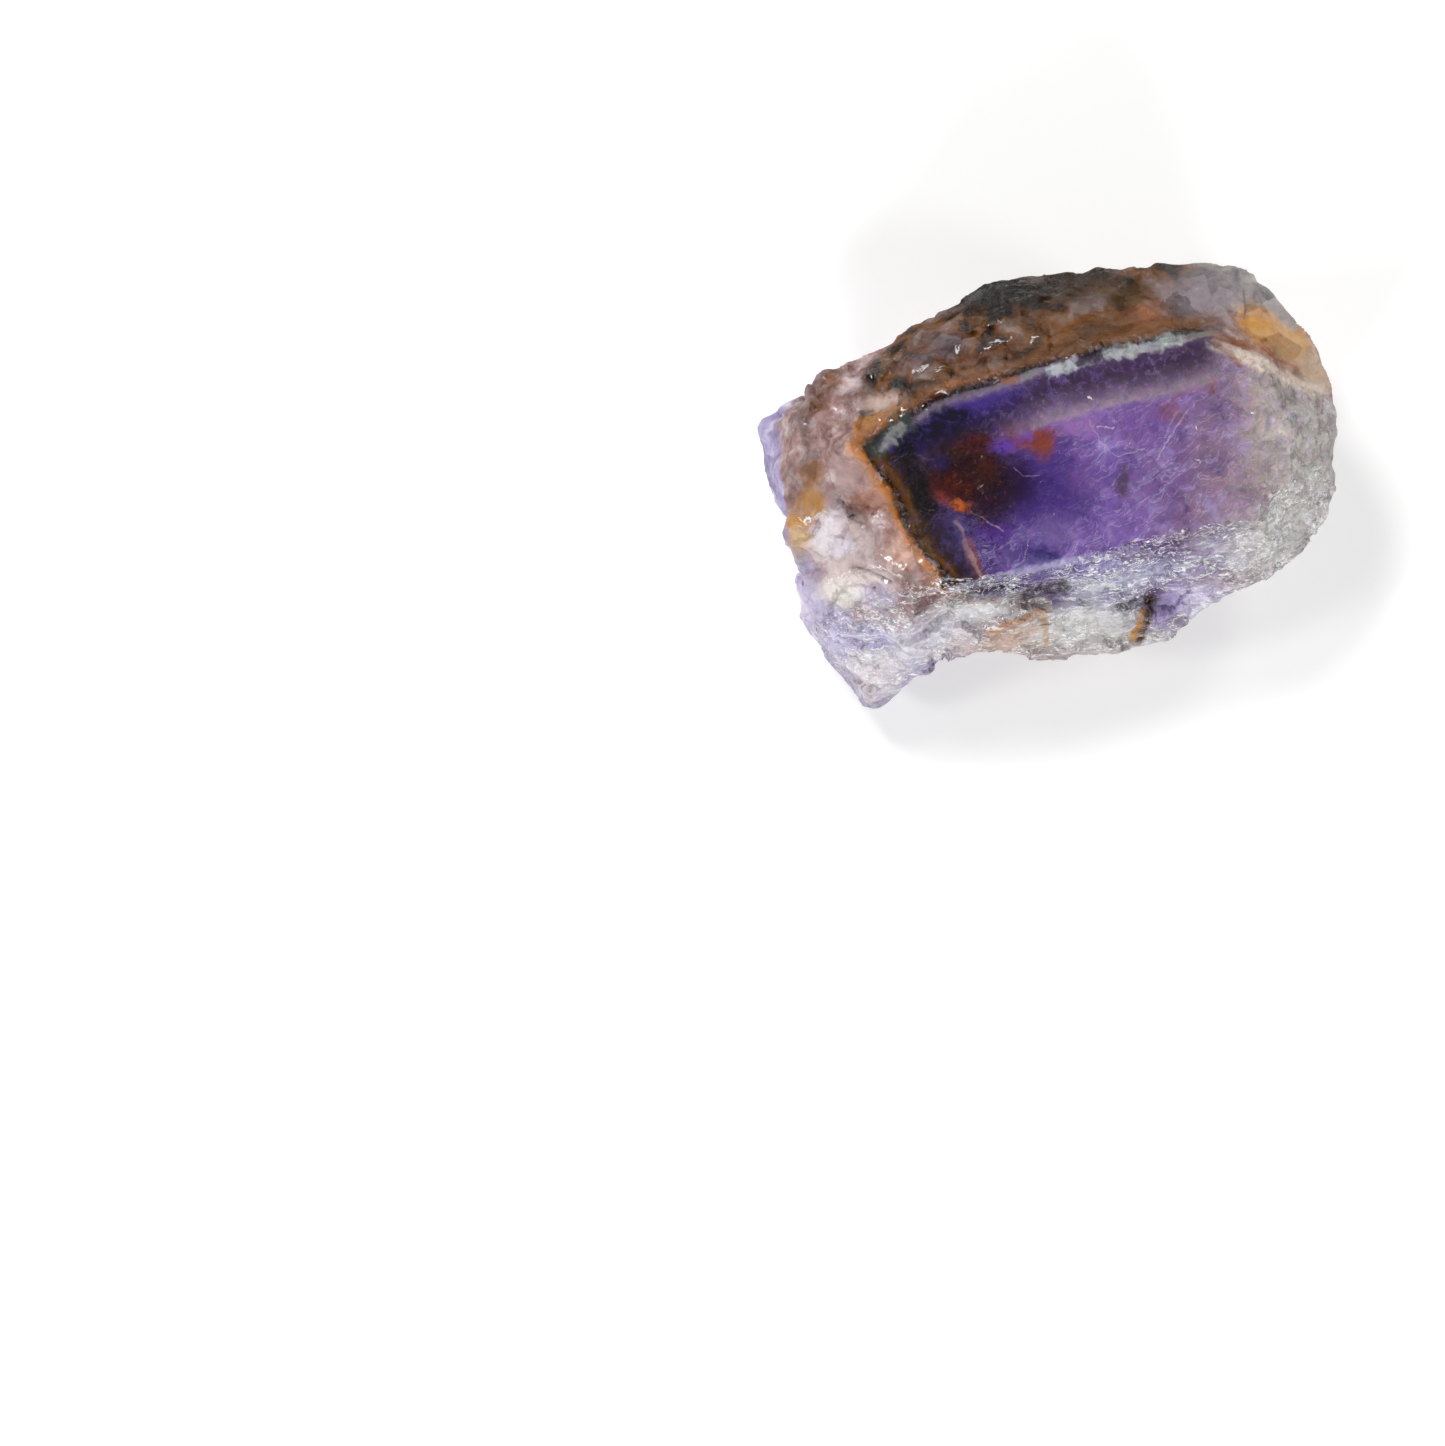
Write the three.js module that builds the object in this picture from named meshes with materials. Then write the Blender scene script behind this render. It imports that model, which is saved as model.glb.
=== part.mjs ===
// A rough chunk of chevron amethyst, lying on its broad broken back with its banded face up.
// Millimetres, +Z up. X runs along the stone's length and Y across its banded face.
import * as THREE from "three";
import { ConvexHull } from "three/addons/math/ConvexHull.js";
import { ImprovedNoise } from "three/addons/math/ImprovedNoise.js";

// Driving dimensions
const FACE_HEIGHT = 30; // the banded face above the table
const CELL = 1.4; // about the size of one facet of the surface
const ROOM = { low: new THREE.Vector3(-34, -28, -2.1), high: new THREE.Vector3(34, 28, 33) };

// The waviness of the broken faces and of the ridges between them
const WAVES = [
  { length: 11, height: 0.8 },
  { length: 4.5, height: 0.3 },
];

// Shell-like chips: small ones all over the stone, and larger spalls round its sides below the girdle
const CHIPS = { count: 150, radius: [3, 11], depth: [0.15, 0.55], highest: 1 };
const SPALLS = { count: 34, radius: [9, 20], depth: [0.6, 1.5], highest: 0 };
const FACE_CHIP_SHARE = 0.4; // how deep the chips on the banded face are beside the others

// Each lump is the convex body around its corners, [x, y, z], with z below the banded face.
const mainBlock = [
  // rim of the banded face, from the tip of the chevron clockwise
  [-17.8, 5.1, -0.6], [-11.5, 9.4, 0], [-0.1, 12.5, 0.2], [8, 14.5, -0.2], [16.3, 14.8, -1.4],
  [21.4, 11.7, -2.4], [24.1, 5.9, -3.2], [24.1, 0.9, -3.4], [20.2, -2.7, -3], [13.1, -4.3, -2],
  [6.1, -6.2, -1.4], [0, -8.3, -1], [-10.5, -9.9, -1.2],
  // girdle, where the stone is widest, from the left end clockwise
  [-25.9, -1.4, -8.2], [-26.2, 3.7, -8.2], [-24.9, 8, -8.5], [-22.4, 11.1, -8.5], [-18.8, 12.7, -8.5],
  [-14.2, 15.6, -9], [-8.6, 18.5, -9.5], [-6.1, 21, -10], [-0.4, 22.4, -10.5], [5.6, 22.5, -9.5],
  [11.7, 22.5, -9], [16.8, 22.8, -9], [20.9, 22.5, -10], [23, 20.6, -10.5], [25.4, 14.9, -10],
  [28.7, 10.1, -9.5], [30, 5.4, -11.5], [29.8, 1.3, -12], [28.6, -3, -12.5], [25.5, -6.9, -14],
  [22.3, -9.3, -15.5], [19.2, -9.9, -16], [15.3, -10.3, -15.5], [-23.7, -11.3, -11], [-25.5, -5.8, -9],
  // the broken back that it lies on
  [-22, 6, -30.6], [-17, 11, -30.6], [-6, 15.5, -30.6], [8, 17, -30.6], [19, 15, -28], [25, 7, -28],
  [24, -1, -30.6], [17, -6, -30.6], [6, -10, -30.6], [-6, -11, -30.6], [-16, -12, -30.6], [-22, -6, -30.6],
];

const whiteLobe = [
  [-9.8, -9.9, -5], [9.7, -10, -10], [11, -11, -13], [-10.9, -12.1, -9], [-8.2, -16.7, -19],
  [-5.6, -16.2, -19.5], [-2, -16.7, -20], [1.7, -17.3, -21], [3.5, -17.2, -21], [6.4, -16.6, -21],
  [9.5, -15.7, -21], [11.9, -15.5, -20.5], [-7, -13, -28.5], [5, -13, -29], [8, -11, -28], [0, 0, -15],
];

const purpleLobe = [
  [11.1, -9.4, -15], [18.9, -9.2, -15], [19.6, -10.2, -18], [19.1, -11.2, -19.5], [17.9, -12.5, -20],
  [16, -13.4, -20.5], [15.6, -14.8, -21], [14.6, -15.6, -21.5], [12.7, -15.8, -21.5], [11, -15.4, -21],
  [9, -12, -28], [15, -8, -27], [0, 0, -18],
];

const toe = [
  [-23.7, -11.3, -11], [-18.9, -11.7, -7], [-10.8, -10.6, -5], [-8.8, -16.5, -17.5], [-10.8, -17.3, -19],
  [-12.8, -18.6, -20.5], [-14.3, -19.7, -21.5], [-15.8, -21.5, -23.5], [-17, -22.1, -24],
  [-17.9, -21.4, -24.2], [-19.3, -20.3, -24.5], [-21.6, -17.2, -24], [-23.9, -12, -21], [-25.3, -8.3, -18],
  [-20, -12, -29.5], [-17.5, -17.5, -28], [-10, -13, -29], [0, 0, -15],
];

const sideFlake = [
  [-28.6, 6.9, -17], [-28.3, 4.1, -17.5], [-27.9, 1.5, -17.5], [-27.3, -0.6, -17], [-26.3, -2.3, -16],
  [-24.8, 10.2, -16], [-26.8, 8.6, -17], [-24.9, 7.3, -9], [-25.9, -1.4, -9], [-22, 7, -25],
  [-22, -3, -25], [0, 0, -17],
];

// Large shell-like hollows where pieces broke away: [x, y, z, radius] of the ball that each fits
const largeHollows = [
  [4, 44.5, -27, 28.5], // under the top edge
  [-33, 38, -31, 32.5],
  [46, 36, -32, 34.5],
  [50, -3, -29, 27],
  [-48, 4, -38, 27],
  [40, -33, -38, 36.3], // under the sparkling edge
  [-3, -38, -42, 28],
  [-44, -30, -38, 27],
  [36.2, 21, -10, 12], // the nicked right shoulder
];

const noise = new ImprovedNoise();

// Moves a point by the waviness of the stone.
function wavy({ x, y, z }) {
  const moved = new THREE.Vector3(x, y, z);
  for (const { length, height } of WAVES) {
    const [u, v, w] = [x / length, y / length, z / length];
    moved.x += height * noise.noise(u + 3.1, v, w);
    moved.y += height * noise.noise(u, v + 7.7, w);
    moved.z += height * noise.noise(u, v, w + 5.3);
  }
  return moved;
}

// The same places once the waviness has moved them, so that the corners stay where they are named
const placed = ([x, y, z]) => wavy(new THREE.Vector3(x, y, z + FACE_HEIGHT));
const lumps = [mainBlock, whiteLobe, purpleLobe, toe, sideFlake].map((corners) =>
  new ConvexHull().setFromPoints(corners.map(placed)).faces.filter((face) => face.area > 0.1),
);
const hollows = largeHollows.map(([x, y, z, radius]) => new THREE.Sphere(placed([x, y, z]), radius));

// Distances from the surface: positive outside the stone, negative in it
const fromLump = (faces, p) => Math.max(...faces.map((face) => face.distanceToPoint(p)));
const intoBall = (ball, p) => ball.radius - ball.center.distanceTo(p);

function fromStone(p, chips) {
  const q = wavy(p);
  const solid = Math.min(...lumps.map((faces) => fromLump(faces, q)));
  const broken = Math.max(solid, ...hollows.map((ball) => intoBall(ball, q)));
  return Math.max(broken, -p.z, ...chips.map(({ ball, rim }) => Math.min(intoBall(ball, p), intoBall(rim, p))));
}

function outward(p, chips) {
  const step = 0.04;
  const slope = (axis) => {
    const ahead = p.clone();
    const behind = p.clone();
    ahead[axis] += step;
    behind[axis] -= step;
    return fromStone(ahead, chips) - fromStone(behind, chips);
  };
  return new THREE.Vector3(slope("x"), slope("y"), slope("z")).normalize();
}

// Where the line between two points crosses the surface, the first being outside it
function crossing(outside, inside, chips) {
  const [a, b] = [outside.clone(), inside.clone()];
  for (let i = 0; i < 14; i++) {
    const middle = a.clone().lerp(b, 0.5);
    if (fromStone(middle, chips) > 0) a.copy(middle);
    else b.copy(middle);
  }
  return a.lerp(b, 0.5);
}

const random = (low, high) => THREE.MathUtils.lerp(low, high, THREE.MathUtils.seededRandom());

// Each chip is a bite that a ball takes out of the surface, met from a chance direction,
// no wider than its rim so that it leaves the lumps nearby alone.
function makeChips({ count, radius: radii, depth: depths, highest }) {
  const heart = new THREE.Vector3(0, 0, 13);
  return Array.from({ length: count }, () => {
    const aim = new THREE.Vector3(random(-1, 1), random(-1, 1), random(-1, highest)).normalize();
    const place = crossing(heart.clone().addScaledVector(aim, 60), heart, []);
    const normal = outward(place, []);
    const radius = random(...radii);
    const depth = random(...depths) * (normal.z > 0.9 ? FACE_CHIP_SHARE : 1);
    return {
      ball: new THREE.Sphere(place.clone().addScaledVector(normal, radius - depth), radius),
      rim: new THREE.Sphere(place, 1.5 * Math.sqrt(2 * radius * depth)),
    };
  });
}

// The point of a cell that lies best on all the planes in which the surface crosses its edges
function cornerOf(touches, low) {
  const middle = new THREE.Vector3();
  touches.forEach(({ point }) => middle.addScaledVector(point, 1 / touches.length));
  const pull = 0.04;
  const m = [pull, 0, 0, 0, pull, 0, 0, 0, pull];
  const offset = new THREE.Vector3();
  for (const { point, normal } of touches) {
    const n = normal.toArray();
    for (let i = 0; i < 9; i++) m[i] += n[Math.floor(i / 3)] * n[i % 3];
    offset.addScaledVector(normal, normal.dot(point.clone().sub(middle)));
  }
  const place = offset.applyMatrix3(new THREE.Matrix3().set(...m).invert()).add(middle);
  const edge = 0.12 * CELL;
  return place.clamp(low.clone().addScalar(edge), low.clone().addScalar(CELL - edge));
}

// How far a triangle is from being a sliver: its smallest height over its longest side
function roundness(a, b, c) {
  const longest = Math.max(a.distanceTo(b), b.distanceTo(c), c.distanceTo(a));
  return (2 * new THREE.Triangle(a, b, c).getArea()) / longest ** 2;
}

const steps = [[1, 0, 0], [0, 1, 0], [0, 0, 1]];

// Fills a corner of the grid wherever two parts of the surface would touch along a line.
function fillPinches(outside, [nx, ny, nz], index) {
  let pinched = true;
  while (pinched) {
    pinched = false;
    for (let k = 0; k < nz - 1; k++) {
      for (let j = 0; j < ny - 1; j++) {
        for (let i = 0; i < nx - 1; i++) {
          for (const [s, t] of [[steps[0], steps[1]], [steps[1], steps[2]], [steps[2], steps[0]]]) {
            const square = [[0, 0], [1, 0], [1, 1], [0, 1]].map(([a, b]) =>
              index(i + a * s[0] + b * t[0], j + a * s[1] + b * t[1], k + a * s[2] + b * t[2]),
            );
            const [a, b, c, d] = square.map((corner) => outside[corner]);
            if (a !== c || b !== d || a === b) continue;
            outside[a ? square[0] : square[1]] = 0;
            pinched = true;
          }
        }
      }
    }
  }
}

// Draws the surface over the stone: a corner in each cell that it passes through,
// and two facets across each cell edge that it crosses.
function brokenSurface() {
  THREE.MathUtils.seededRandom(7);
  const chips = [...makeChips(SPALLS), ...makeChips(CHIPS)];
  const span = ROOM.high.clone().sub(ROOM.low);
  const counts = span.toArray().map((length) => Math.ceil(length / CELL));
  const [nx, ny, nz] = counts;
  const gridPoint = (i, j, k) => new THREE.Vector3(i, j, k).multiplyScalar(CELL).add(ROOM.low);
  const index = (i, j, k) => i + nx * (j + ny * k);

  const outside = new Uint8Array(nx * ny * nz);
  for (let k = 0; k < nz; k++) {
    for (let j = 0; j < ny; j++) {
      for (let i = 0; i < nx; i++) outside[index(i, j, k)] = fromStone(gridPoint(i, j, k), chips) > 0 ? 1 : 0;
    }
  }

  fillPinches(outside, counts, index);

  const touchesOf = new Map(); // the crossings around each cell
  const crossedEdges = [];
  for (let k = 1; k < nz - 1; k++) {
    for (let j = 1; j < ny - 1; j++) {
      for (let i = 1; i < nx - 1; i++) {
        steps.forEach(([di, dj, dk], axis) => {
          const here = outside[index(i, j, k)];
          if (here === outside[index(i + di, j + dj, k + dk)]) return;
          const ends = [gridPoint(i, j, k), gridPoint(i + di, j + dj, k + dk)];
          if (!here) ends.reverse();
          const point = crossing(...ends, chips);
          const touch = { point, normal: outward(point, chips) };
          const [s, t] = [steps[(axis + 1) % 3], steps[(axis + 2) % 3]];
          const around = [[0, 0], [1, 0], [1, 1], [0, 1]].map(([a, b]) =>
            index(i - a * s[0] - b * t[0], j - a * s[1] - b * t[1], k - a * s[2] - b * t[2]),
          );
          around.forEach((cell) => touchesOf.set(cell, [...(touchesOf.get(cell) ?? []), touch]));
          crossedEdges.push(here ? around.reverse() : around);
        });
      }
    }
  }

  const numberOf = new Map();
  const corners = [];
  for (const [cell, touches] of touchesOf) {
    const low = gridPoint(cell % nx, Math.floor(cell / nx) % ny, Math.floor(cell / (nx * ny)));
    const place = cornerOf(touches, low);
    for (let i = 0; i < 2; i++) place.addScaledVector(outward(place, chips), -fromStone(place, chips));
    if (place.z < 0.2) place.z = 0;
    numberOf.set(cell, corners.length);
    corners.push(place);
  }

  const facets = [];
  for (const around of crossedEdges) {
    const [a, b, c, d] = around.map((cell) => numberOf.get(cell));
    const [A, B, C, D] = [a, b, c, d].map((number) => corners[number]);
    const acrossAC = Math.min(roundness(A, B, C), roundness(A, C, D));
    const acrossBD = Math.min(roundness(A, B, D), roundness(B, C, D));
    facets.push(...(acrossAC > acrossBD ? [a, b, c, a, c, d] : [a, b, d, b, c, d]));
  }

  const surface = new THREE.BufferGeometry().setFromPoints(corners);
  surface.setIndex(facets);
  return surface;
}

// Stands the stone on the table with its bounding box centred on the origin.
function standAtOrigin(geometry) {
  geometry.computeBoundingBox();
  const { min, max } = geometry.boundingBox;
  return geometry.translate(-(min.x + max.x) / 2, -(min.y + max.y) / 2, -min.z);
}

const stone = standAtOrigin(brokenSurface());
stone.computeVertexNormals();

const amethyst = new THREE.MeshStandardMaterial({ color: 0x6f5a93, roughness: 0.35, metalness: 0 });
const chunk = new THREE.Mesh(stone, amethyst);
chunk.name = "amethyst_chunk";

const part = new THREE.Group();
part.add(chunk);
export default part;
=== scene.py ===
"""A rough chunk of chevron amethyst lying on a lit white panel, seen from straight above."""

import math

import bmesh
import bpy
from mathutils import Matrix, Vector, noise


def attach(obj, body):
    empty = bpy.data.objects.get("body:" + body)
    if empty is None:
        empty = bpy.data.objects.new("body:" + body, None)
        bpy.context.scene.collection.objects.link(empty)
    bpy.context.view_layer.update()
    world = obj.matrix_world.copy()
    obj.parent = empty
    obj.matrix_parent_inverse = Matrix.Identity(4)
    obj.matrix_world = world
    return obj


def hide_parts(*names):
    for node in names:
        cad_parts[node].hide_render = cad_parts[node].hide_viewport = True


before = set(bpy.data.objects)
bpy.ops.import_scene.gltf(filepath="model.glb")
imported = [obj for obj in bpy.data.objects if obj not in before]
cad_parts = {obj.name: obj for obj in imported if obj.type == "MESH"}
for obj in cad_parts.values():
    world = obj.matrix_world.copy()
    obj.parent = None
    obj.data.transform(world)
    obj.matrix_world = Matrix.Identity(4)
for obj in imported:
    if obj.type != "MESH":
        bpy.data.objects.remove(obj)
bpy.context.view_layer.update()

MM = 0.001

# The camera looks straight down, with the stone up and to the right of the middle of the frame.
CAMERA_PLACE = (-33.66, -23.95, 572.0)
CAMERA_LENS = 135.0
CAMERA_SENSOR = 36.0

# The panel under the stone reaches this far to each side, in metres.
PANEL_REACH = 1.5

# Square soft boxes that face the stone: (name, azimuth and elevation in degrees, side in m, power in W)
LAMPS = [
    ("key", 125, 52, 0.15, 1.9),
    ("back right", 55, 45, 0.09, 0.5),
    ("right", 350, 35, 0.09, 0.5),
    ("front right", 295, 28, 0.12, 1.0),
    ("front left", 245, 30, 0.13, 1.3),
    ("left", 185, 38, 0.10, 0.7),
]
LAMP_AIM = 0.02  # metres above the panel, where they all point
LAMP_DISTANCE = 0.6  # metres from there

# The surface is rebuilt with facets this small, in mm, before the fine breaks are cut into it.
FINE_FACET = 0.31
# Noise vectors are offset by this seed, so that every run breaks the stone in the same way.
BREAK_SEED = 3
# Facets that meet at more than this angle, in degrees, keep a sharp edge.
SHARP_EDGE = 28

# The sizes of the breaks, in mm
LARGE_SCOOP = 7.0
SMALL_SCOOP = 3.4
TINY_SCOOP = 1.8
LARGE_CHIP = 5.2
SMALL_CHIP = 2.6
FRONT_LEDGE = 2.6
LEFT_LEDGE = 4.1
RISER = 0.16  # the share of a ledge that its steep riser takes up

# The chevron: two arms of coloured layers that meet at a point. Each arm is a sheet in the stone,
# given as the direction out of the banded zone and the place of its dark line along it, in mm.
# The upper arm has three straight parts, and stands nearly upright in the stone.
UPPER_ARM = [
    ((-0.532, 0.846, -0.03), 12.85),
    ((-0.316, 0.949, -0.03), 10.90),
    ((-0.229, 0.973, -0.03), 11.12),
]
# Past the end of the upper arm, this sheet parts the banded zone from the outer quartz.
END_SHEET = ((0.335, 0.942, -0.03), 17.25)
# The lower arm leans, and comes out again low on the front, where streaks stand in for its layers.
LOWER_ARM = ((-0.6317, -0.3650, -0.684), -9.36)
LOWER_ARM_SPREAD = 1 / 0.7295  # how much wider its layers look on the banded face than they are
POINT_ROUNDING = 3.2  # mm over which the two arms round into each other at the point
ZONE_EDGE = 0.3  # mm to each side over which one zone turns into the next

# How strongly quartz bends the light
QUARTZ_IOR = 1.544


def srgb(code, alpha=1.0):
    """The linear colour of an sRGB hex code."""
    parts = [int(code[i:i + 2], 16) / 255 for i in (1, 3, 5)]
    linear = [p / 12.92 if p <= 0.04045 else ((p + 0.055) / 1.055) ** 2.4 for p in parts]
    return (*linear, alpha)


def smooth(low, high, value):
    """0 below low, 1 above high, and a smooth rise between them."""
    t = min(max((value - low) / (high - low), 0.0), 1.0)
    return t * t * (3 - 2 * t)


def added(name, data):
    """A new object in the scene."""
    thing = bpy.data.objects.new(name, data)
    bpy.context.scene.collection.objects.link(thing)
    return thing


# The shape


def arm_distance(place, arm):
    """How far a place is outside one sheet of an arm, in mm."""
    direction, offset = arm
    return place.dot(Vector(direction)) - offset


def scoops(place, size, depth):
    """Height of a field of shell-shaped chips, with sharp ridges where they meet."""
    nearest = noise.voronoi(place / size)[0][0]
    return depth * (3.0 * nearest * nearest - 0.5)


def flat_chips(place, size, lean):
    """Height of a field of flat chips that each lean their own way, with ledges where they meet."""
    spot = place / size
    centre = noise.voronoi(spot)[1][0]
    direction = noise.cell_vector(centre * 31.7) * 2 - Vector((1, 1, 1))
    return lean * size * direction.dot(spot - centre)


def ledge_height(along, spacing, height):
    """Height of a flight of ledges, each with a steep riser and a long tread that leans back."""
    step = along / spacing
    share = step - math.floor(step)
    return height * (smooth(0.0, RISER, share) - share)


def relief(place, normal):
    """How far the broken surface stands out at a place, in mm."""
    x, y, z = place
    # Shares of the banded face, of the walls, of the front, of the left ledges and of glassy quartz
    banded = smooth(0.80, 0.93, normal.z) * smooth(25.0, 27.0, z) * (1 - 0.5 * smooth(14.0, 24.0, x))
    rough = 1 - banded
    wall = 1 - smooth(0.15, 0.5, normal.z)
    front = smooth(0.2, 0.6, -normal.y) * rough
    left = smooth(0.2, 0.5, -normal.x) * smooth(14.0, 20.0, z) * rough
    glassy = max(smooth(9.0, 14.0, y), smooth(12.0, 19.0, x) * smooth(15.0, 20.0, z),
                 smooth(-22.0, -26.0, x), 0.7 * wall)

    # No break is regular, and the banded face is nearly smooth; the depths are in mm
    shifted = place + noise.noise_vector(place / 4.0) * 1.4 + noise.noise_vector(place / 1.5) * 0.2
    drawn_out = Vector((shifted.x * 0.5, shifted.y + 0.1 * shifted.x, shifted.z))
    height = scoops(shifted, LARGE_SCOOP, 0.07 + (0.45 - 0.12 * wall) * rough)
    height += scoops(shifted + Vector((9, 4, 2)), SMALL_SCOOP, 0.03 + 0.22 * rough * (1 - 0.4 * glassy))
    height += scoops(drawn_out, TINY_SCOOP, 0.01 + 0.05 * rough * (1 - 0.6 * glassy) + 0.03 * front)
    height += flat_chips(shifted, LARGE_CHIP, 0.18) * rough * (1 - 0.6 * glassy)
    height += flat_chips(drawn_out, SMALL_CHIP, 0.13) * rough * (1 - 0.8 * glassy)
    height += 0.08 * noise.noise(place / 3.1)

    wander = noise.noise(place / 4.5)
    height += front * ledge_height(z + 1.4 * wander + 0.12 * x, FRONT_LEDGE, 0.16)
    height += left * ledge_height(0.6 * x + 0.7 * y + 2.2 * wander, LEFT_LEDGE, 0.35)

    # A groove lies inside the dark line of the arms, and a ridge on it, left of the middle
    upper = max(arm_distance(place, arm) for arm in UPPER_ARM)
    lower = arm_distance(place, LOWER_ARM) * LOWER_ARM_SPREAD
    outside = max(upper, lower)
    top = smooth(0.3, 0.7, normal.z)
    height -= top * 0.06 * math.exp(-((outside + 0.6) / 0.35) ** 2)
    height += top * 0.10 * math.exp(-((outside - 0.2) / 0.6) ** 2) * smooth(-4.0, -14.0, x)
    # A foot low on the front is worn back
    height -= 1.3 * math.exp(-((x + 0.4) / 2.4) ** 2) * smooth(-16.2, -17.4, y)
    # The underside stays flat, so that the stone lies still
    return height * smooth(0.0, 1.5, z)


def broken_stone():
    """The stone of the frame, with its fine breaks, ledges and grooves cut in."""
    noise.seed_set(BREAK_SEED)
    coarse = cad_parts["amethyst_chunk"].data.copy()
    # The facets of the frame don't share their corners yet
    shell = bmesh.new()
    shell.from_mesh(coarse)
    bmesh.ops.remove_doubles(shell, verts=shell.verts, dist=0.001 * MM)
    shell.to_mesh(coarse)
    shell.free()
    stone = added("amethyst_stone", coarse)
    rebuild = stone.modifiers.new("even facets", "REMESH")
    rebuild.mode = "VOXEL"
    rebuild.voxel_size = FINE_FACET * MM
    bpy.context.view_layer.update()
    view = bpy.context.evaluated_depsgraph_get()
    fine = bpy.data.meshes.new_from_object(stone.evaluated_get(view))
    stone.modifiers.clear()
    stone.data = fine
    bpy.data.meshes.remove(coarse)

    surface = bmesh.new()
    surface.from_mesh(fine)
    # The steps between the new facets are eased first
    bmesh.ops.smooth_vert(surface, verts=surface.verts, factor=0.5, use_axis_x=True, use_axis_y=True,
                          use_axis_z=True)
    surface.normal_update()
    moves = [vert.normal * relief(vert.co / MM, vert.normal) * MM for vert in surface.verts]
    for vert, move in zip(surface.verts, moves):
        vert.co += move
        vert.co.z = max(vert.co.z, 0.0)
    for face in surface.faces:
        face.smooth = True
    surface.to_mesh(fine)
    surface.free()
    fine.set_sharp_from_angle(angle=math.radians(SHARP_EDGE))
    return stone


# The materials


def add(tree, kind, inputs=(), **settings):
    """Adds a node with its settings and links, and gives its first output in use.

    inputs is a list in the order of the sockets in use, or a dict by socket name, of values and
    outputs. The stops of a colour ramp are [(position, colour)].
    """
    node = tree.nodes.new("ShaderNode" + kind)
    for name, value in settings.items():
        if name == "stops":
            while len(node.color_ramp.elements) < len(value):
                node.color_ramp.elements.new(1.0)
            for element, (position, colour) in zip(node.color_ramp.elements, value):
                element.position = position
                element.color = colour
        else:
            setattr(node, name, value)
    sockets = [socket for socket in node.inputs if socket.enabled]
    pairs = inputs.items() if isinstance(inputs, dict) else enumerate(inputs)
    for key, value in pairs:
        socket = sockets[key] if isinstance(key, int) else next(s for s in sockets if s.name == key)
        if isinstance(value, bpy.types.NodeSocket):
            tree.links.new(value, socket)
        else:
            socket.default_value = value
    return next((socket for socket in node.outputs if socket.enabled), None)


# A share that rises smoothly between two values, and keeps between 0 and 1 without a clamp. Cycles
# runs a clamp late, and by then it would keep more values than its small store can hold.
SOFT_RISE = {"interpolation_type": "SMOOTHSTEP", "clamp": False}

# The middle of a noise or of a random colour, which is taken off so that it swings to both sides.
MIDDLE = (0.5, 0.5, 0.5)

# A stain is gone past the first of these shares of its reach, and full inside the second. So is a
# streak with the shares of its half width.
STAIN_EDGE = (1.45, 0.3)
STREAK_EDGE = (1.25, 0.4)


def new_material(name):
    """A material without nodes, and its tree."""
    material = bpy.data.materials.new(name)
    material.use_nodes = True
    material.node_tree.nodes.clear()
    return material, material.node_tree


def bent(tree, place, size, bend, detail):
    """A place in the stone, bent to and fro by some mm over waves of this size in mm."""
    waves = add(tree, "TexNoise", {"Vector": place, "Scale": 1 / size, "Detail": detail, "Roughness": 0.6})
    waves = waves.node.outputs["Color"]
    centred = add(tree, "VectorMath", [waves, MIDDLE], operation="SUBTRACT")
    # The noise keeps mostly within a quarter of its middle
    return add(tree, "VectorMath", [centred, (4 * bend,) * 3, place], operation="MULTIPLY_ADD")


def outside_arm(tree, place, arm):
    """How far a place is outside one sheet of an arm, in mm."""
    direction, offset = arm
    along = add(tree, "VectorMath", [place, direction], operation="DOT_PRODUCT")
    return add(tree, "Math", [along, offset], operation="SUBTRACT")


def layers(tree, distance, bands):
    """The colour and cover of layers, from bands of (distance in mm, hex colour, cover)."""
    first, last = bands[0][0], bands[-1][0]
    stops = [((at - first) / (last - first), srgb(code, cover)) for at, code, cover in bands]
    share = add(tree, "MapRange", [distance, first, last], clamp=False)
    colour = add(tree, "ValToRGB", [share], stops=stops)
    return colour, colour.node.outputs["Alpha"]


def stained(tree, colour, place, stains):
    """A colour with soft stains over it."""
    rim, full = STAIN_EDGE
    for centre, reach, code, strength in stains:
        apart = add(tree, "VectorMath", [place, centre], operation="SUBTRACT")
        apart = add(tree, "VectorMath", [apart, reach], operation="DIVIDE")
        apart = add(tree, "VectorMath", [apart], operation="LENGTH")
        cover = add(tree, "MapRange", [apart, rim, full, 0.0, strength], **SOFT_RISE)
        colour = add(tree, "Mix", [cover, colour, srgb(code)], data_type="RGBA")
    return colour


def streaked(tree, colour, place, streaks, patchy):
    """A colour with streaks over it, which stand upright in the stone and fade where patchy is low."""
    rim, full = STREAK_EDGE
    seen_from_above = add(tree, "VectorMath", [place, (1, 1, 0)], operation="MULTIPLY")
    for (start_x, start_y), (end_x, end_y), width, code, strength in streaks:
        start = (start_x, start_y, 0)
        run = Vector((end_x - start_x, end_y - start_y, 0))
        per_length = tuple(run / run.length_squared)
        from_start = add(tree, "VectorMath", [seen_from_above, start], operation="SUBTRACT")
        share = add(tree, "VectorMath", [from_start, per_length], operation="DOT_PRODUCT")
        share = add(tree, "Math", [share, 0.0], operation="MAXIMUM")
        share = add(tree, "Math", [share, 1.0], operation="MINIMUM")
        nearest = add(tree, "VectorMath", {0: tuple(run), "Scale": share}, operation="SCALE")
        apart = add(tree, "VectorMath", [from_start, nearest], operation="DISTANCE")
        cover = add(tree, "MapRange", [apart, rim * width, full * width, 0.0, strength], **SOFT_RISE)
        cover = add(tree, "Math", [cover, patchy], operation="MULTIPLY")
        colour = add(tree, "Mix", [cover, colour, srgb(code)], data_type="RGBA")
    return colour


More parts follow.
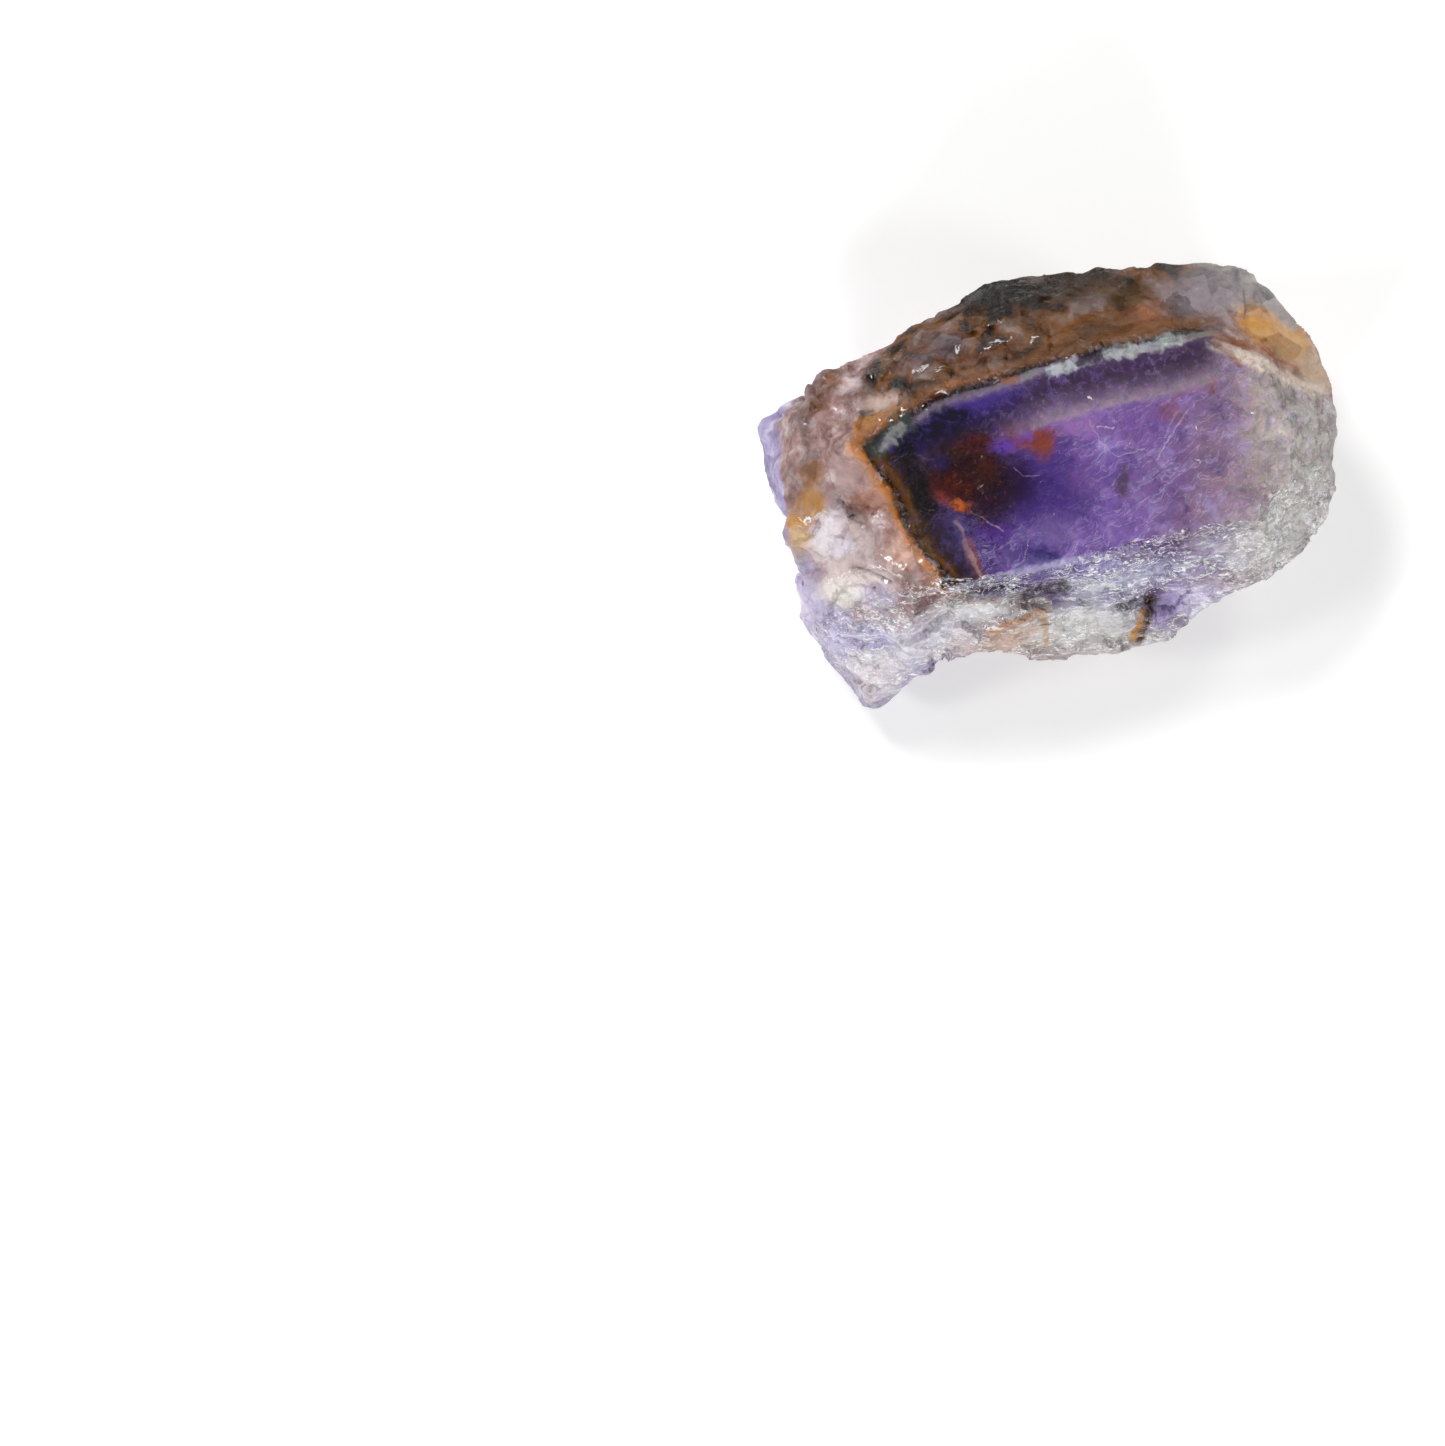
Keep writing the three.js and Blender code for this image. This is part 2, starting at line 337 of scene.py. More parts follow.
# The colours of the layers, from the inside of the chevron out: (mm, hex colour, cover)
UPPER_LAYERS_LEFT = [
    (-5.2, "#2a1c3c", 0.0),
    (-4.2, "#1d1826", 0.7),
    (-3.2, "#281c44", 1.0),
    (-2.2, "#36266a", 1.0),
    (-1.5, "#423176", 1.0),
    (-1.1, "#5d4d76", 0.95),
    (-0.8, "#75697a", 0.9),
    (-0.45, "#6a5f66", 0.9),
    (-0.2, "#241a16", 1.0),
    (0.15, "#22140c", 1.0),
    (0.4, "#5c3516", 1.0),
    (1.0, "#8c5526", 0.95),
    (2.2, "#8f6a50", 0.0),
]

UPPER_LAYERS_RIGHT = [
    (-6.4, "#7a5a98", 0.0),
    (-5.6, "#95808f", 0.75),
    (-5.1, "#84747e", 0.8),
    (-4.2, "#5b4a5c", 0.85),
    (-3.4, "#46374a", 0.95),
    (-2.6, "#3b2b42", 1.0),
    (-1.7, "#402f4c", 1.0),
    (-1.25, "#4b3a52", 1.0),
    (-0.95, "#767776", 0.95),
    (-0.45, "#72726e", 0.9),
    (-0.25, "#2c241d", 1.0),
    (0.05, "#2f1f12", 0.95),
    (0.35, "#603c1c", 1.0),
    (1.1, "#74481f", 0.9),
    (2.2, "#6b4226", 0.0),
]

LOWER_LAYERS = [
    (-4.2, "#2a1c22", 0.0),
    (-2.6, "#231b1e", 0.75),
    (-1.5, "#2a1d12", 0.95),
    (-1.0, "#3d2812", 1.0),
    (-0.6, "#5a3a18", 1.0),
    (-0.2, "#4a2e14", 1.0),
    (0.05, "#26160b", 1.0),
    (0.4, "#281509", 1.0),
    (0.65, "#6e3e15", 1.0),
    (0.95, "#a0632a", 1.0),
    (1.5, "#ac7040", 1.0),
    (1.9, "#b07c58", 0.85),
    (2.4, "#a87a62", 0.45),
    (3.4, "#9a6e58", 0.0),
]

# Stains in the banded face: (middle in mm, reach in mm, colour, strength)
FACE_STAINS = [
    ((-2.4, -0.7, 29), (6.4, 5.4, 6), "#3a2468", 0.85),  # deep violet, left of the middle
    ((-4.6, 0.0, 29), (2.9, 2.2, 5), "#25163f", 0.85),  # and its darkest part
    ((-0.5, -5.0, 29), (2.4, 1.6, 4), "#7b6498", 0.5),
    ((1.6, 5.8, 29), (3.2, 1.3, 4), "#8c669e", 0.7),  # pale purple under the grey band
    ((-1.4, -7.4, 29), (1.9, 1.2, 4), "#2b205c", 0.9),  # a blue pool by the front edge
    ((-10.6, -5.8, 29), (2.5, 3.0, 5), "#4d427c", 0.85),  # blue violet by the lower arm
    ((-6.8, -4.8, 29), (1.9, 1.2, 4), "#52337f", 0.8),
    ((8.2, 5.8, 29), (2.8, 1.8, 4), "#6c4a8e", 0.6),
    ((11.6, 7.3, 29), (1.8, 1.2, 4), "#74465c", 0.75),
    ((6.5, 0.1, 29), (0.9, 1.5, 4), "#43323c", 0.75),  # a brown smudge in the middle
    ((2.6, 1.2, 29), (1.6, 2.6, 4), "#6a4a86", 0.5),
    ((-9.6, 0.9, 29), (5.9, 4.9, 6), "#26140f", 0.97),  # the red brown patch
    ((-7.0, -1.4, 29), (2.6, 3.0, 5), "#261620", 0.85),
    ((-7.2, 1.6, 29), (1.4, 1.9, 4), "#3a1c12", 0.8),
    ((-10.8, 3.4, 29), (1.6, 0.9, 4), "#2c1d14", 0.8),
    ((-8.4, 4.3, 29), (2.2, 1.5, 4), "#451a0e", 0.85),
    ((-11.0, -0.4, 29), (2.8, 1.5, 4), "#46190f", 0.75),
    ((-13.4, 4.3, 29), (2.2, 0.9, 4), "#37291a", 0.7),
    ((-11.9, 2.1, 29), (1.0, 1.0, 4), "#251e4a", 0.75),  # a blue window in it
    ((-11.9, -1.4, 29), (0.9, 0.8, 4), "#7c332f", 0.6),
    ((-9.9, -2.4, 29), (1.2, 0.65, 4), "#b0561c", 0.85),  # its bright orange foot
    ((-3.1, 4.8, 29), (2.8, 1.5, 4), "#74341f", 0.85),  # rust
    ((-1.7, 3.7, 29), (1.3, 1.3, 4), "#7c3b1a", 0.8),
    ((-3.4, 5.0, 29), (0.75, 0.75, 4), "#6a459c", 0.9),  # with violet showing through
    ((-5.3, 3.9, 29), (1.5, 0.9, 4), "#5d3a96", 0.9),
]

# Streaks over the layers: (start in mm, end in mm, half width in mm, colour, strength)
POINT_STREAKS = [
    ((-1.0, 11.2), (1.5, 11.9), 0.75, "#b4b6bb", 0.9),  # lumps of the white layer
    ((5.0, 12.9), (12.2, 14.5), 0.62, "#a6aaaa", 0.85),
    ((-5.9, 9.9), (-4.5, 10.2), 0.38, "#94603f", 0.65),  # rust in its place
    ((2.2, 12.2), (4.4, 12.8), 0.60, "#33243c", 0.85),  # and where it is nearly gone
    ((-15.6, 4.4), (-10.4, 6.6), 1.5, "#17161c", 0.93),  # black inside the point
    ((-15.4, 3.6), (-13.2, -2.2), 1.3, "#161413", 0.93),
    ((-18.3, 3.5), (-15.4, 6.3), 1.2, "#333b39", 0.95),  # speckled grey green at the very point
    ((-17.7, 3.7), (-15.8, 5.5), 0.6, "#858484", 0.8),
]

# Healed cracks and seams in the banded face, given in the same way
FACE_STREAKS = [
    ((-9.2, -5.9), (-7.9, -9.3), 0.70, "#8c4a30", 0.6),  # rust beside the lower arm
    ((-10.5, -3.9), (-9.4, -6.2), 0.24, "#a88f8c", 0.5),
    ((-9.2, -6.5), (-7.4, -10.1), 0.28, "#b9a09a", 0.5),
    ((9.7, 2.5), (13.0, 7.1), 0.12, "#c9bcd8", 0.34),  # white threads
    ((10.8, 4.7), (12.1, 7.4), 0.09, "#b9a8c8", 0.30),
    ((6.1, 2.7), (8.4, 3.7), 0.11, "#c9bcd8", 0.34),
    ((3.0, 6.4), (3.9, 4.2), 0.09, "#b5a6cc", 0.30),
    ((3.9, 4.2), (6.1, 2.7), 0.11, "#b5a6cc", 0.34),
    ((3.7, 5.5), (5.4, 5.6), 0.08, "#d5cbe0", 0.42),
    ((21.9, 3.1), (21.9, 1.0), 0.11, "#cfc4cc", 0.34),
    ((21.9, 1.0), (20.6, -0.9), 0.11, "#cfc4cc", 0.34),
    ((-4.6, 1.8), (-3.7, 1.0), 0.08, "#b09ac8", 0.24),
    ((-3.7, 1.0), (-2.0, 0.8), 0.08, "#b09ac8", 0.24),
    ((-7.2, -4.0), (-5.5, -4.7), 0.08, "#cfc3d2", 0.26),
    ((-8.7, -2.9), (-7.2, -3.9), 0.08, "#c08a62", 0.26),
    ((-2.9, -5.7), (-3.5, -8.0), 0.09, "#b09a9c", 0.30),
    ((4.1, 8.1), (5.4, 7.3), 0.12, "#6d3a44", 0.34),  # reddish veins
    ((5.4, 7.3), (6.7, 4.9), 0.12, "#6d3a4c", 0.34),
    ((15.4, 10.5), (15.4, 9.0), 0.25, "#7a3f30", 0.8),
    ((11.9, 9.0), (15.4, 10.1), 0.55, "#7b4b55", 0.6),
    ((15.9, 8.7), (17.8, 8.0), 0.11, "#5e2c2a", 0.42),
]

# Stains in the quartz outside the arms
OUTER_STAINS = [
    ((-21.5, -6.5, 24), (4.2, 3.2, 6), "#cfc1c0", 0.75),  # paler towards the front
    ((-20.0, -9.8, 22), (5.0, 2.2, 6), "#dccfcc", 0.85),
    ((-15.4, -6.6, 28), (1.7, 2.0, 5), "#d3ab9a", 0.85),  # salmon, along the lower arm
    ((-19.0, -1.6, 27), (2.3, 1.8, 4), "#94614c", 0.85),  # brown pink, farther up
    ((-17.2, 8.2, 27), (2.4, 1.2, 4), "#c9b0a6", 0.85),  # pale block beside the point
    ((-22.6, -4.4, 24), (1.8, 3.0, 5), "#d3c8cf", 0.9),  # pale clean break
    ((-21.4, 1.4, 26), (1.8, 2.2, 5), "#a78d8b", 0.8),
    ((-24.6, 1.4, 24), (1.3, 1.5, 5), "#8a5418", 0.92),  # amber, deep above and pale below
    ((-24.8, -1.5, 24), (1.5, 1.9, 5), "#b27f3e", 0.92),
    ((-26.4, -3.6, 22), (1.4, 0.8, 5), "#bd8432", 0.9),
    ((-26.0, -5.6, 22), (1.2, 1.8, 4), "#c4a374", 0.85),
    ((-25.3, 5.6, 22), (0.8, 2.6, 4), "#5f463c", 0.75),
    ((-21.4, -6.3, 24), (1.3, 1.0, 4), "#dcd3de", 0.85),  # a pale chip
    ((-24.3, -8.6, 21), (1.1, 0.9, 4), "#8a6a80", 0.7),
    ((-21.3, -11.0, 21), (2.4, 1.4, 4), "#e3ddd6", 0.9),  # clear, nearly white quartz
    ((-17.8, -11.2, 23), (2.2, 1.3, 4), "#b9aecb", 0.8),  # a smooth lavender chip
    ((-5.5, 19.6, 20), (9.5, 3.0, 8), "#120906", 1.0),  # dark brown along the top edge: iron stain, deepened by painted shade
    # its right part, also iron stain deepened by painted shade
    ((3.5, 20.6, 21), (5.0, 1.9, 6), "#24140b", 0.9),
    ((3.0, 15.6, 26), (7.5, 2.2, 5), "#6b421b", 0.7),  # honey brown
    ((6.5, 19.4, 23), (5.5, 1.4, 5), "#4e3310", 0.85),
    ((9.0, 16.6, 25), (2.6, 1.8, 5), "#8a4f24", 0.8),  # rusty orange
    ((11.5, 15.2, 27), (3.6, 1.2, 4), "#84502c", 0.8),
    ((3.8, 18.6, 24), (2.0, 1.0, 4), "#5c5050", 0.6),
    ((-11.2, 14.0, 25), (2.2, 1.6, 4), "#5b4c52", 0.85),  # grey glassy lump
    ((-14.2, 12.0, 25), (2.0, 1.4, 4), "#6a565a", 0.7),
    ((15.0, 18.8, 23), (4.6, 3.0, 6), "#857880", 0.9),  # grey lavender, upper right
    ((20.6, 16.0, 23), (3.0, 2.6, 5), "#cd9040", 0.92),  # yellow ochre
    ((24.0, 14.4, 22), (2.6, 2.4, 5), "#c99b64", 0.85),
    ((26.4, 11.5, 22), (2.2, 2.2, 5), "#cdb193", 0.8),
]

# Streaks in the quartz outside the arms
OUTER_STREAKS = [
    ((-20.0, 5.9), (-16.6, 7.0), 0.80, "#bd8650", 0.9),  # ochre round the point of the chevron
    ((-20.2, 5.6), (-19.6, 3.6), 0.60, "#b87b42", 0.85),
    ((-24.2, 8.0), (-22.2, 11.4), 1.00, "#6e4526", 0.85),  # brown, upper left
    ((-10.3, 12.2), (-3.7, 14.2), 0.80, "#5a3218", 0.85),  # rust along the upper arm
    ((20.6, 20.0), (24.2, 16.6), 0.90, "#a09a98", 0.85),  # clear corner
    ((15.5, 13.9), (26.9, 9.6), 0.80, "#e9d6c6", 0.9),  # cream seam with rusty threads
    ((20.6, 13.6), (24.6, 11.9), 0.22, "#a05a30", 0.7),
    ((15.5, 14.9), (21.6, 13.3), 0.60, "#96582f", 0.8),
    ((13.4, 15.9), (18.2, 12.0), 0.45, "#8e5a38", 0.8),
]

# Stains in the torn front, below the banded face
FRONT_STAINS = [
    ((-15.0, -15.0, 18), (7.5, 4.5, 6), "#e4dfee", 0.92),  # sparkling lavender slope of the toe
    ((-19.0, -19.0, 12), (4.6, 4.6, 7), "#e9dee3", 0.92),
    ((-22.5, -14.5, 14), (3.0, 3.5, 6), "#cfc5ea", 0.85),
    ((-18.0, -14.8, 17), (2.6, 1.8, 5), "#a99ed6", 0.7),
    ((-9.5, -16.0, 14), (3.0, 1.8, 5), "#d8c6c8", 0.75),
    ((3.0, -13.6, 16), (7.5, 3.2, 6), "#e0dfdd", 0.95),  # white grey lobe
    ((-7.5, -12.6, 20), (5.0, 1.2, 5), "#e2e1e3", 0.9),
    ((-4.6, -15.6, 14), (2.7, 1.7, 5), "#cdb3a2", 0.95),  # pink beige chip
    ((7.6, -11.9, 16), (1.1, 0.8, 5), "#4a4f4c", 0.85),  # dark green spot
    ((15.4, -11.4, 13), (3.6, 2.6, 8), "#dfd6f4", 0.95),  # pale purple lobe
    ((12.9, -13.9, 10), (2.0, 1.6, 5), "#776a80", 0.95),
    ((1.5, -8.3, 27), (5.5, 1.1, 4), "#7f77ac", 0.7),  # blue violet behind the front edge
    ((5.0, -10.0, 22), (5.0, 1.4, 5), "#b9bac8", 0.9),  # pale blue grey step
    ((9.0, -8.6, 23), (6.5, 1.6, 5), "#b6b3d2", 0.85),
    ((16.0, -6.0, 23), (4.5, 2.6, 5), "#b3a8cc", 0.75),  # lavender, sparkling
    ((21.5, -5.2, 21), (5.5, 4.0, 8), "#d2cecc", 0.85),  # grey, sparkling right end
    ((25.5, 1.0, 21), (4.0, 7.5, 8), "#cdc7c3", 0.85),
    ((6.0, -15.5, 8), (12.0, 4.0, 6), "#cfcac9", 0.85),  # under the lobes
    ((-25.5, -12.5, 12), (3.5, 7.0, 9), "#d6cce0", 0.85),  # the left edge of the toe
]

# Streaks in the torn front
FRONT_STREAKS = [
    ((-11.1, -10.6), (0.5, -7.9), 0.45, "#cfcbe0", 0.4),  # the bruised edge of the banded face, pale partly from bruising and partly a painted highlight
    ((0.5, -7.9), (9.1, -6.5), 0.45, "#c3bfdc", 0.35),
    ((-10.1, -11.5), (-2.5, -10.8), 0.70, "#77787a", 0.55),  # dark strip under the edge
    ((-2.9, -10.9), (0.7, -10.2), 0.80, "#3b302a", 0.85),
    ((-6.4, -14.7), (-1.2, -12.6), 0.42, "#b98558", 0.8),  # tan rim of the beige chip
    ((-1.0, -12.4), (-0.2, -16.0), 0.45, "#c09a72", 0.75),
    ((-5.0, -16.0), (-2.0, -14.4), 1.10, "#d3b7a8", 0.85),  # and its clean face
    ((12.6, -10.8), (11.6, -13.4), 1.20, "#bca9e2", 0.7),
    ((10.2, -11.0), (9.5, -15.2), 0.70, "#4e2c12", 1.0),  # the brown stripe
    ((9.3, -12.6), (8.8, -15.2), 0.50, "#b8823a", 1.0),
    ((13.9, -10.0), (13.2, -11.8), 0.30, "#6c4f9c", 0.7),
]

# Painted glints: white marks that stand in for the light flashing off clean little breaks
PAINTED_GLINTS = [
    ((-7.5, 13.3), (-6.6, 14.0), 0.15, "#ffffff", 0.95),  # on the lumps above the upper arm
    ((-6.4, 14.1), (-5.6, 14.4), 0.20, "#ffffff", 0.95),
    ((-5.3, 14.5), (-4.8, 14.9), 0.15, "#ffffff", 0.95),
    ((-2.9, 14.7), (-2.3, 14.9), 0.14, "#ffffff", 0.95),
    ((-10.3, 13.5), (-9.8, 13.9), 0.13, "#ffffff", 0.8),
    ((-14.1, 11.4), (-13.5, 11.8), 0.13, "#ffffff", 0.7),
    ((-12.3, 11.3), (-11.9, 11.8), 0.13, "#ffffff", 0.7),
    ((-18.9, -3.5), (-17.7, -3.2), 0.20, "#ffffff", 0.9),  # on the ledges of the left side
    ((-18.8, -4.1), (-18.3, -3.8), 0.18, "#ffffff", 0.8),
    ((-26.0, -3.7), (-25.0, -3.4), 0.22, "#ffffff", 0.9),
    ((-17.7, -6.7), (-16.7, -7.1), 0.20, "#ffffff", 0.9),
    ((-16.4, -7.5), (-15.2, -8.1), 0.20, "#ffffff", 0.9),
    ((-22.8, -9.5), (-20.8, -8.5), 0.16, "#f4f0f2", 0.8),  # a wavy ledge low on the left
    ((-20.8, -8.5), (-18.2, -8.3), 0.16, "#f4f0f2", 0.8),
    ((-18.2, -8.3), (-15.7, -9.3), 0.16, "#f4f0f2", 0.8),
    ((-26.1, -4.2), (-22.8, -2.2), 0.14, "#efe9ea", 0.6),
    ((13.7, 5.6), (13.9, 5.5), 0.07, "#ffffff", 0.95),  # on the banded face
    ((13.8, 2.3), (14.0, 2.0), 0.12, "#f4f0fa", 0.8),
    ((19.4, 7.1), (19.7, 7.2), 0.07, "#ffffff", 0.9),
    ((3.0, 8.7), (3.6, 8.5), 0.12, "#ffffff", 0.7),
]


def violet_heart(tree, shaken, along):
    """Amethyst between the arms: deep violet, paling to grey quartz towards the right end."""
    wander = add(tree, "TexNoise", {"Vector": shaken, "Scale": 0.16, "Detail": 3.0, "Roughness": 0.6})
    paling = add(tree, "Math", [wander, 18.0, -9.0], operation="MULTIPLY_ADD")
    paling = add(tree, "Math", [along, paling], operation="ADD")
    violet, _ = layers(tree, paling, [
        (-16, "#382a58", 1), (-9, "#4a3872", 1), (-2, "#604888", 1), (5, "#735798", 1),
        (11, "#705684", 1), (16, "#83697f", 1), (20, "#a1918f", 1), (27, "#bfb5b0", 1),
    ])
    cloud = add(tree, "TexNoise", {"Vector": shaken, "Scale": 0.35, "Detail": 6.0, "Roughness": 0.6})
    pale = add(tree, "MapRange", [cloud, 0.5, 0.72, 0.0, 0.6], **SOFT_RISE)
    violet = add(tree, "Mix", [pale, violet, srgb("#9a86b8")], data_type="RGBA")
    deep = add(tree, "MapRange", [cloud, 0.48, 0.25, 0.0, 0.6], **SOFT_RISE)
    violet = add(tree, "Mix", [deep, violet, srgb("#2c1c50")], data_type="RGBA")
    # Wisps of fine inclusions lie slantwise in it
    slanted = add(tree, "VectorMath", [shaken, (0.3, 0.2, 0.0)], operation="DOT_PRODUCT")
    across = add(tree, "VectorMath", [shaken, (-0.7, 1.0, 0.0)], operation="DOT_PRODUCT")
    slantwise = add(tree, "CombineXYZ", [slanted, across, 0.0])
    wisps = add(tree, "TexNoise", {"Vector": slantwise, "Scale": 1.1, "Detail": 5.0, "Roughness": 0.65})
    wisps = add(tree, "MapRange", [wisps, 0.52, 0.74, 0.0, 0.6], **SOFT_RISE)
    violet = add(tree, "Mix", [wisps, violet, srgb("#a997cc")], data_type="RGBA")
    # and healed cracks run through it as faint threads
    threads = add(tree, "TexNoise", {"Vector": slantwise, "Scale": 0.55, "Detail": 4.0, "Roughness": 0.6})
    threads = add(tree, "Math", [threads, 0.5], operation="SUBTRACT")
    threads = add(tree, "Math", [threads], operation="ABSOLUTE")
    threads = add(tree, "MapRange", [threads, 0.016, 0.004, 0.0, 0.38], **SOFT_RISE)
    threads = add(tree, "Math", [threads, cloud], operation="MULTIPLY")
    return add(tree, "Mix", [threads, violet, srgb("#d8cdea")], data_type="RGBA")


def iron_grains(tree, colour, grown, along):
    """Fine grains of iron oxide, nearly black and rusty red, in the stained end of the heart."""
    grains = add(tree, "TexNoise", {"Vector": grown, "Scale": 2.0, "Detail": 5.0, "Roughness": 0.75})
    stained_end = add(tree, "MapRange", [along, -3.0, -6.5], **SOFT_RISE)
    for none, full, strength, code in ((0.52, 0.62, 0.6, "#140c14"), (0.43, 0.34, 0.5, "#7a3c2c")):
        share = add(tree, "MapRange", [grains, none, full, 0.0, strength], **SOFT_RISE)
        share = add(tree, "Math", [share, stained_end], operation="MULTIPLY")
        colour = add(tree, "Mix", [share, colour, srgb(code)], data_type="RGBA")
    return colour


def outer_quartz(tree, flowing, upper, lower, along):
    """Quartz outside the arms: greyish pink, stained by iron, and lavender at the far left."""
    speckle = add(tree, "TexNoise", {"Vector": flowing, "Scale": 0.5, "Detail": 7.0, "Roughness": 0.6})
    quartz = add(tree, "ValToRGB", [speckle], stops=[
        (0.30, srgb("#6d4e4c")), (0.45, srgb("#8f6f6b")), (0.55, srgb("#ab9290")), (0.70, srgb("#d2c6c6")),
    ])
    lavender = add(tree, "ValToRGB", [speckle], stops=[
        (0.35, srgb("#8a7da6")), (0.55, srgb("#aaa0c2")), (0.70, srgb("#cdc6dc")),
    ])
    far_left = add(tree, "MapRange", [lower, 16.5, 19.0], **SOFT_RISE)
    quartz = add(tree, "Mix", [far_left, quartz, lavender], data_type="RGBA")
    lumps = add(tree, "TexNoise", {"Vector": flowing, "Scale": 0.42, "Detail": 4.0, "Roughness": 0.5})
    iron = add(tree, "ValToRGB", [lumps], stops=[
        (0.36, srgb("#120a06")), (0.45, srgb("#40240f")), (0.52, srgb("#70431a")), (0.59, srgb("#6f5245")),
        (0.68, srgb("#8f7b74")),
    ])
    grey = add(tree, "ValToRGB", [speckle], stops=[
        (0.32, srgb("#8a8084")), (0.5, srgb("#aba3a1")), (0.70, srgb("#ccc5c0")),
    ])
    past_upper = add(tree, "MapRange", [upper, 0.5, 1.6], **SOFT_RISE)
    before_lower = add(tree, "MapRange", [lower, 2.5, -1.0], **SOFT_RISE)
    along_the_back = add(tree, "Math", [past_upper, before_lower], operation="MULTIPLY")
    to_right = add(tree, "MapRange", [along, 11.0, 19.0], **SOFT_RISE)
    iron = add(tree, "Mix", [to_right, iron, grey], data_type="RGBA")
    return add(tree, "Mix", [along_the_back, quartz, iron], data_type="RGBA")


def arm_layers(tree, outside, on_lower, along, place, patchy):
    """The colour and cover of the layers of both arms."""
    left_colour, left_cover = layers(tree, outside, UPPER_LAYERS_LEFT)
    right_colour, right_cover = layers(tree, outside, UPPER_LAYERS_RIGHT)
    to_right = add(tree, "MapRange", [along, -8.0, -1.0], **SOFT_RISE)
    upper_colour = add(tree, "Mix", [to_right, left_colour, right_colour], data_type="RGBA")
    upper_cover = add(tree, "Mix", [to_right, left_cover, right_cover])
    lower_colour, lower_cover = layers(tree, outside, LOWER_LAYERS)
    colour = add(tree, "Mix", [on_lower, upper_colour, lower_colour], data_type="RGBA")
    cover = add(tree, "Mix", [on_lower, upper_cover, lower_cover])
    # They fade out towards the right end and below the front edge
    before_end = add(tree, "MapRange", [along, 18.0, 14.0], **SOFT_RISE)
    cover = add(tree, "Math", [cover, before_end], operation="MULTIPLY")
    back = add(tree, "VectorMath", [place, (0, 1, 0.3)], operation="DOT_PRODUCT")
    behind_front = add(tree, "MapRange", [back, -3.5, -1.5], **SOFT_RISE)
    cover = add(tree, "Math", [cover, behind_front], operation="MULTIPLY")
    patchy_cover = add(tree, "MapRange", [patchy, 0.45, 1.0, 0.65, 1.0], **SOFT_RISE)
    return colour, add(tree, "Math", [cover, patchy_cover], operation="MULTIPLY")


def flat_breaks(tree, colour, flowing, clean):
    """Flat planes a few mm across that the outer quartz broke along, each with its tilt and a tone that is
    partly painted shade.
    """
    blocks = add(tree, "TexVoronoi", {"Vector": flowing, "Scale": 0.36})
    block_colour = blocks.node.outputs["Color"]
    # Each plane gets its own tone, partly a painted shade as if it faced the light its own way
    painted_facet_shade = add(tree, "SeparateColor", [block_colour]).node.outputs["Green"]
    painted_facet_shade = add(tree, "MapRange", [painted_facet_shade, 0.0, 1.0, 0.32, 0.72], clamp=False)
    share = add(tree, "Math", [clean, 0.6], operation="MULTIPLY")
    colour = add(tree, "Mix", [share, colour, painted_facet_shade], data_type="RGBA", blend_type="OVERLAY")
    tilt = add(tree, "VectorMath", [block_colour, MIDDLE], operation="SUBTRACT")
    tilt_share = add(tree, "Math", [clean, 0.55], operation="MULTIPLY")
    tilt = add(tree, "VectorMath", {0: tilt, "Scale": tilt_share}, operation="SCALE")
    return colour, tilt


def mottled(tree, colour, grown, clean):
    """A colour with specks and clouds too small to name, fewer on the flat breaks."""
    mottle = add(tree, "TexNoise", {"Vector": grown, "Scale": 1.1, "Detail": 6.0, "Roughness": 0.8})
    tinted = add(tree, "Mix", [0.35, mottle, mottle.node.outputs["Color"]], data_type="RGBA")
    tinted = add(tree, "VectorMath", [tinted, (2.6,) * 3, (-0.8,) * 3], operation="MULTIPLY_ADD")
    grainy = add(tree, "Math", [clean, -0.19, 0.34], operation="MULTIPLY_ADD")
    return add(tree, "Mix", [grainy, colour, tinted], data_type="RGBA", blend_type="OVERLAY")


def with_painted_glints(tree, colour, shaken, torn, slope, high):
    """A colour with painted glints of torn quartz: white flecks under a millimetre long, along the layers.
    """
    along_layers = add(tree, "Mapping", {
        "Vector": shaken, "Rotation": (0, 0, math.radians(-12)), "Scale": (0.3, 1.0, 0.8),
    })
    painted_glint_flecks = add(tree, "TexNoise", {"Vector": along_layers, "Scale": 3.6, "Detail": 2.0, "Roughness": 0.5})
    crowd = add(tree, "TexNoise", {"Vector": torn, "Scale": 0.25, "Detail": 2.0})
    crowd = add(tree, "MapRange", [crowd, 0.30, 0.55, 0.25, 1.0], **SOFT_RISE)
    crowd = add(tree, "Math", [crowd, slope], operation="MULTIPLY")
    crowd = add(tree, "Math", [crowd, high], operation="MULTIPLY")
    least = add(tree, "MapRange", {"Value": crowd, "To Min": 0.80, "To Max": 0.575})
    painted_glint_flecks = add(tree, "Math", [painted_glint_flecks, least], operation="SUBTRACT")
    painted_glint_flecks = add(tree, "MapRange", {"Value": painted_glint_flecks, "From Max": 0.02, "To Max": 0.95})
    # Painted glints in hair lines lie where a slow noise passes through its middle
    painted_glint_hairs = add(tree, "TexNoise", {"Vector": along_layers, "Scale": 1.5, "Detail": 3.0, "Roughness": 0.55})
    painted_glint_hairs = add(tree, "Math", [painted_glint_hairs, 0.5, 0.013], operation="COMPARE")
    painted_glint_hairs = add(tree, "Math", [painted_glint_hairs, crowd], operation="MULTIPLY")
    painted_glint_flecks = add(tree, "Math", [painted_glint_flecks, painted_glint_hairs], operation="MAXIMUM")
    return add(tree, "Mix", [painted_glint_flecks, colour, srgb("#ffffff")], data_type="RGBA")


